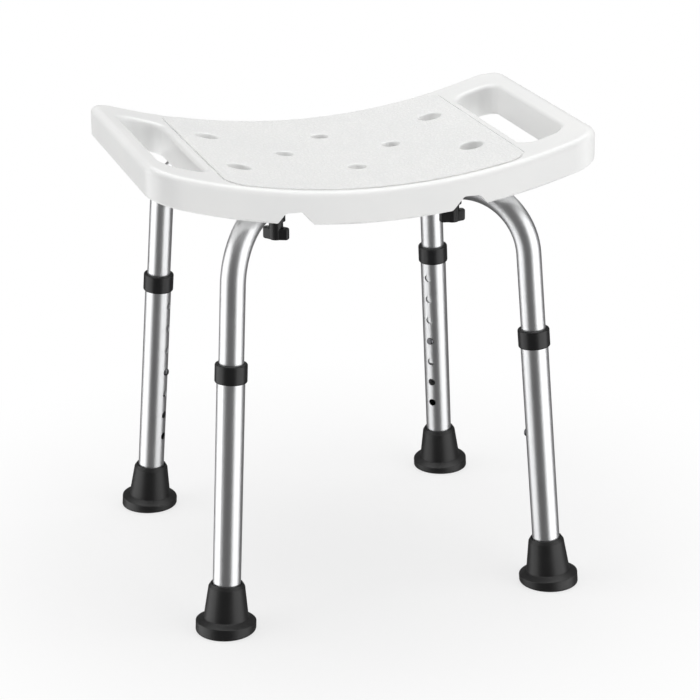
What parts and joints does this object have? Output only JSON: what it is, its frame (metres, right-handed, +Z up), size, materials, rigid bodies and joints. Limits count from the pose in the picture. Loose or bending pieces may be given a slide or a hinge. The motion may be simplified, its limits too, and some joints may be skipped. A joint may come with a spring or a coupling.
{
  "type": "shower stool",
  "caption": "Shower stool with a saddle-shaped white seat, hand slots and drain holes, on crossing aluminium tubes with telescoping legs and black rubber feet.",
  "frame": {"origin": "on the floor under the centre of the seat", "axes": "+X along the seat's long side, front at -Y, +Z up"},
  "size_m": [0.466, 0.3964, 0.4787],
  "materials": {
    "seat_plastic": "satin with a fine grain on the panel",
    "anodised_tube": "satin anodised",
    "black_plastic": "satin",
    "black_rubber": "satin",
    "plated_steel": "zinc plated",
    "dark_steel": "blackened spring steel",
    "brass_insert": "turned"
  },
  "bodies": {
    "root": {"frame_tube_left_front": "anodised_tube", "frame_tube_right_front": "anodised_tube", "seat": "seat_plastic", "centre_rivet": "plated_steel", "seat_insert_front_left": "brass_insert", "seat_insert_front_right": "brass_insert", "seat_insert_rear_left": "brass_insert", "seat_insert_rear_right": "brass_insert", "snap_spring_front_left": "dark_steel", "snap_spring_front_right": "dark_steel", "snap_spring_rear_left": "dark_steel", "snap_spring_rear_right": "dark_steel"},
    "leg_front_left": {"lower_tube_front_left": "anodised_tube", "collar_front_left": "black_plastic", "foot_front_left": "black_rubber", "foot_washer_front_left": "plated_steel"},
    "button_front_left": {"snap_button_front_left": "dark_steel"},
    "washer_front_left": {"saddle_washer_front_left": "black_plastic"},
    "knob_front_left": {"knob_front_left": "black_plastic", "knob_stud_front_left": "plated_steel"},
    "leg_front_right": {"lower_tube_front_right": "anodised_tube", "collar_front_right": "black_plastic", "foot_front_right": "black_rubber", "foot_washer_front_right": "plated_steel"},
    "button_front_right": {"snap_button_front_right": "dark_steel"},
    "washer_front_right": {"saddle_washer_front_right": "black_plastic"},
    "knob_front_right": {"knob_front_right": "black_plastic", "knob_stud_front_right": "plated_steel"},
    "leg_rear_left": {"lower_tube_rear_left": "anodised_tube", "collar_rear_left": "black_plastic", "foot_rear_left": "black_rubber", "foot_washer_rear_left": "plated_steel"},
    "button_rear_left": {"snap_button_rear_left": "dark_steel"},
    "washer_rear_left": {"saddle_washer_rear_left": "black_plastic"},
    "knob_rear_left": {"knob_rear_left": "black_plastic", "knob_stud_rear_left": "plated_steel"},
    "leg_rear_right": {"lower_tube_rear_right": "anodised_tube", "collar_rear_right": "black_plastic", "foot_rear_right": "black_rubber", "foot_washer_rear_right": "plated_steel"},
    "button_rear_right": {"snap_button_rear_right": "dark_steel"},
    "washer_rear_right": {"saddle_washer_rear_right": "black_plastic"},
    "knob_rear_right": {"knob_rear_right": "black_plastic", "knob_stud_rear_right": "plated_steel"}
  },
  "joints": [
    {"name": "leg_slide_front_left", "type": "slide", "parent": "root", "child": "leg_front_left", "axis": [0.0601, 0.057, 0.9966], "range_m": [-0.078, 0.078]},
    {"name": "button_press_front_left", "type": "slide", "parent": "root", "child": "button_front_left", "axis": [-0.7229, -0.686, 0.0828], "range_m": [0, 0.0042], "stiffness_N_per_m": 1500, "deforming": ["snap_spring_front_left"]},
    {"name": "washer_drop_front_left", "type": "slide", "parent": "root", "child": "washer_front_left", "axis": [0, 0, -1], "range_m": [0, 0.01]},
    {"name": "knob_turn_front_left", "type": "hinge", "parent": "washer_front_left", "child": "knob_front_left", "pos_m": [-0.09357, -0.0888, 0.39], "axis": [0, 0, -1], "range_deg": [0, 2880]},
    {"name": "leg_slide_front_right", "type": "slide", "parent": "root", "child": "leg_front_right", "axis": [-0.0601, 0.057, 0.9966], "range_m": [-0.078, 0.078]},
    {"name": "button_press_front_right", "type": "slide", "parent": "root", "child": "button_front_right", "axis": [0.7229, -0.686, 0.0828], "range_m": [0, 0.0042], "stiffness_N_per_m": 1500, "deforming": ["snap_spring_front_right"]},
    {"name": "washer_drop_front_right", "type": "slide", "parent": "root", "child": "washer_front_right", "axis": [0, 0, -1], "range_m": [0, 0.01]},
    {"name": "knob_turn_front_right", "type": "hinge", "parent": "washer_front_right", "child": "knob_front_right", "pos_m": [0.09357, -0.0888, 0.39], "axis": [0, 0, -1], "range_deg": [0, 2880]},
    {"name": "leg_slide_rear_left", "type": "slide", "parent": "root", "child": "leg_rear_left", "axis": [0.0601, -0.057, 0.9966], "range_m": [-0.078, 0.078]},
    {"name": "button_press_rear_left", "type": "slide", "parent": "root", "child": "button_rear_left", "axis": [-0.7229, 0.686, 0.0828], "range_m": [0, 0.0042], "stiffness_N_per_m": 1500, "deforming": ["snap_spring_rear_left"]},
    {"name": "washer_drop_rear_left", "type": "slide", "parent": "root", "child": "washer_rear_left", "axis": [0, 0, -1], "range_m": [0, 0.01]},
    {"name": "knob_turn_rear_left", "type": "hinge", "parent": "washer_rear_left", "child": "knob_rear_left", "pos_m": [-0.09357, 0.0888, 0.39], "axis": [0, 0, -1], "range_deg": [0, 2880]},
    {"name": "leg_slide_rear_right", "type": "slide", "parent": "root", "child": "leg_rear_right", "axis": [-0.0601, -0.057, 0.9966], "range_m": [-0.078, 0.078]},
    {"name": "button_press_rear_right", "type": "slide", "parent": "root", "child": "button_rear_right", "axis": [0.7229, 0.686, 0.0828], "range_m": [0, 0.0042], "stiffness_N_per_m": 1500, "deforming": ["snap_spring_rear_right"]},
    {"name": "washer_drop_rear_right", "type": "slide", "parent": "root", "child": "washer_rear_right", "axis": [0, 0, -1], "range_m": [0, 0.01]},
    {"name": "knob_turn_rear_right", "type": "hinge", "parent": "washer_rear_right", "child": "knob_rear_right", "pos_m": [0.09357, 0.0888, 0.39], "axis": [0, 0, -1], "range_deg": [0, 2880]}
  ],
  "couplings": [
    {"joint": "knob_turn_front_left", "follows": "washer_drop_front_left", "rad_per_m": 5026.5},
    {"joint": "knob_turn_front_right", "follows": "washer_drop_front_right", "rad_per_m": 5026.5},
    {"joint": "knob_turn_rear_left", "follows": "washer_drop_rear_left", "rad_per_m": 5026.5},
    {"joint": "knob_turn_rear_right", "follows": "washer_drop_rear_right", "rad_per_m": 5026.5}
  ]
}
